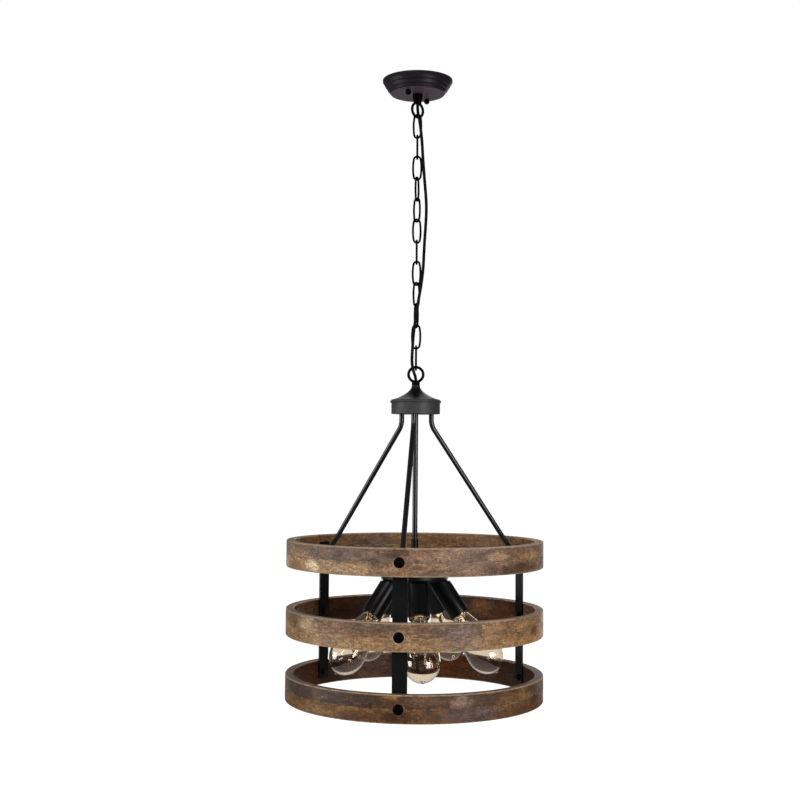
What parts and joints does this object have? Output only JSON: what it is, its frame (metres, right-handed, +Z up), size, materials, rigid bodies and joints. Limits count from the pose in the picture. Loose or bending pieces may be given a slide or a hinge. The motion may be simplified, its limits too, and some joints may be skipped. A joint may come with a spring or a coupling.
{
  "type": "drum chandelier",
  "caption": "Chandelier on a chain: a round canopy, a hub with sloping rods, a drum of stacked wooden rings on flat straps, and a central pan with tilted clear bulbs.",
  "frame": {"origin": "middle of the canopy's rim, on the ceiling", "axes": "+Z up into the ceiling, with the chandelier hanging below; -Y is the side that the picture shows; +X to the right there"},
  "size_m": [0.4572, 0.4597, 1.112],
  "materials": {
    "zinc": "zinc plated",
    "canopy_paint": "satin black",
    "black_paint": "satin black",
    "hub_paint": "satin dark grey",
    "cord_jacket": "matt",
    "socket_liner": "unglazed",
    "bulb_glass": "clear",
    "bulb_base": "bright",
    "wood": "worn brown stain"
  },
  "bodies": {
    "mount": {"ceiling_bar": "zinc", "stud_bar": "zinc", "canopy_studs": "zinc", "canopy": "canopy_paint", "ball_nuts": "canopy_paint", "canopy_loop": "black_paint", "canopy_nipple": "zinc", "canopy_locknut": "zinc", "supply_cord": "cord_jacket"},
    "link_01": {"chain_link_01": "black_paint"},
    "link_02": {"chain_link_02": "black_paint"},
    "link_03": {"chain_link_03": "black_paint"},
    "link_04": {"chain_link_04": "black_paint"},
    "link_05": {"chain_link_05": "black_paint"},
    "link_06": {"chain_link_06": "black_paint"},
    "link_07": {"chain_link_07": "black_paint"},
    "link_08": {"chain_link_08": "black_paint"},
    "link_09": {"chain_link_09": "black_paint"},
    "link_10": {"chain_link_10": "black_paint"},
    "link_11": {"chain_link_11": "black_paint"},
    "link_12": {"chain_link_12": "black_paint"},
    "fixture": {"fixture_loop": "black_paint", "bell_cap": "black_paint", "hub_lid": "hub_paint", "hub": "hub_paint", "hub_nuts": "zinc", "center_stem": "black_paint", "rod_front": "black_paint", "rod_right": "black_paint", "rod_left": "black_paint", "rod_nuts": "zinc", "stem_coupling": "black_paint", "pan_stem": "black_paint", "pan": "black_paint", "pan_cover": "black_paint", "pan_nuts": "zinc", "socket_1": "black_paint", "socket_2": "black_paint", "socket_3": "black_paint", "socket_4": "black_paint", "socket_5": "black_paint", "socket_liners": "socket_liner", "ring_top": "wood", "ring_middle": "wood", "ring_bottom": "wood", "strap_front": "black_paint", "strap_right": "black_paint", "strap_left": "black_paint", "ring_bolts": "black_paint", "ring_nuts": "black_paint"},
    "bulb_1": {"bulb_1_glass": "bulb_glass", "bulb_1_base": "bulb_base"},
    "bulb_2": {"bulb_2_glass": "bulb_glass", "bulb_2_base": "bulb_base"},
    "bulb_3": {"bulb_3_glass": "bulb_glass", "bulb_3_base": "bulb_base"},
    "bulb_4": {"bulb_4_glass": "bulb_glass", "bulb_4_base": "bulb_base"},
    "bulb_5": {"bulb_5_glass": "bulb_glass", "bulb_5_base": "bulb_base"}
  },
  "joints": [
    {"name": "link_01_swing", "type": "hinge", "parent": "mount", "child": "link_01", "pos_m": [0, 0, -0.0675], "axis": [0.7431, 0.6691, 0], "range_deg": [-12, 12], "deforming": ["supply_cord"]},
    {"name": "link_02_swing", "type": "hinge", "parent": "link_01", "child": "link_02", "pos_m": [0, 0, -0.1053], "axis": [0.9239, -0.3827, 0], "range_deg": [-12, 12]},
    {"name": "link_03_swing", "type": "hinge", "parent": "link_02", "child": "link_03", "pos_m": [0, 0, -0.1437], "axis": [0, 1, 0], "range_deg": [-12, 12]},
    {"name": "link_04_swing", "type": "hinge", "parent": "link_03", "child": "link_04", "pos_m": [0, 0, -0.1821], "axis": [1, 0, 0], "range_deg": [-12, 12]},
    {"name": "link_05_swing", "type": "hinge", "parent": "link_04", "child": "link_05", "pos_m": [0, 0, -0.2205], "axis": [0.3827, 0.9239, 0], "range_deg": [-12, 12]},
    {"name": "link_06_swing", "type": "hinge", "parent": "link_05", "child": "link_06", "pos_m": [0, 0, -0.2589], "axis": [-0.7071, 0.7071, 0], "range_deg": [-12, 12]},
    {"name": "link_07_swing", "type": "hinge", "parent": "link_06", "child": "link_07", "pos_m": [0, 0, -0.2973], "axis": [-0.9239, -0.3827, 0], "range_deg": [-12, 12]},
    {"name": "link_08_swing", "type": "hinge", "parent": "link_07", "child": "link_08", "pos_m": [0, 0, -0.3357], "axis": [0, -1, 0], "range_deg": [-12, 12]},
    {"name": "link_09_swing", "type": "hinge", "parent": "link_08", "child": "link_09", "pos_m": [0, 0, -0.3741], "axis": [0.9239, -0.3827, 0], "range_deg": [-12, 12]},
    {"name": "link_10_swing", "type": "hinge", "parent": "link_09", "child": "link_10", "pos_m": [0, 0, -0.4125], "axis": [0.7071, 0.7071, 0], "range_deg": [-12, 12]},
    {"name": "link_11_swing", "type": "hinge", "parent": "link_10", "child": "link_11", "pos_m": [0, 0, -0.4509], "axis": [-0.3827, 0.9239, 0], "range_deg": [-12, 12]},
    {"name": "link_12_swing", "type": "hinge", "parent": "link_11", "child": "link_12", "pos_m": [0, 0, -0.4893], "axis": [-1, 0, 0], "range_deg": [-12, 12]},
    {"name": "fixture_swing", "type": "hinge", "parent": "link_12", "child": "fixture", "pos_m": [0, 0, -0.5277], "axis": [0, 1, 0], "range_deg": [-12, 12]},
    {"name": "bulb_1_out", "type": "slide", "parent": "fixture", "child": "bulb_1", "axis": [0.0487, -0.5571, -0.829], "range_m": [0, 0.03]},
    {"name": "bulb_2_out", "type": "slide", "parent": "fixture", "child": "bulb_2", "axis": [0.5449, -0.1258, -0.829], "range_m": [0, 0.03]},
    {"name": "bulb_3_out", "type": "slide", "parent": "fixture", "child": "bulb_3", "axis": [0.288, 0.4793, -0.829], "range_m": [0, 0.03]},
    {"name": "bulb_4_out", "type": "slide", "parent": "fixture", "child": "bulb_4", "axis": [-0.3669, 0.422, -0.829], "range_m": [0, 0.03]},
    {"name": "bulb_5_out", "type": "slide", "parent": "fixture", "child": "bulb_5", "axis": [-0.5147, -0.2185, -0.829], "range_m": [0, 0.03]}
  ]
}
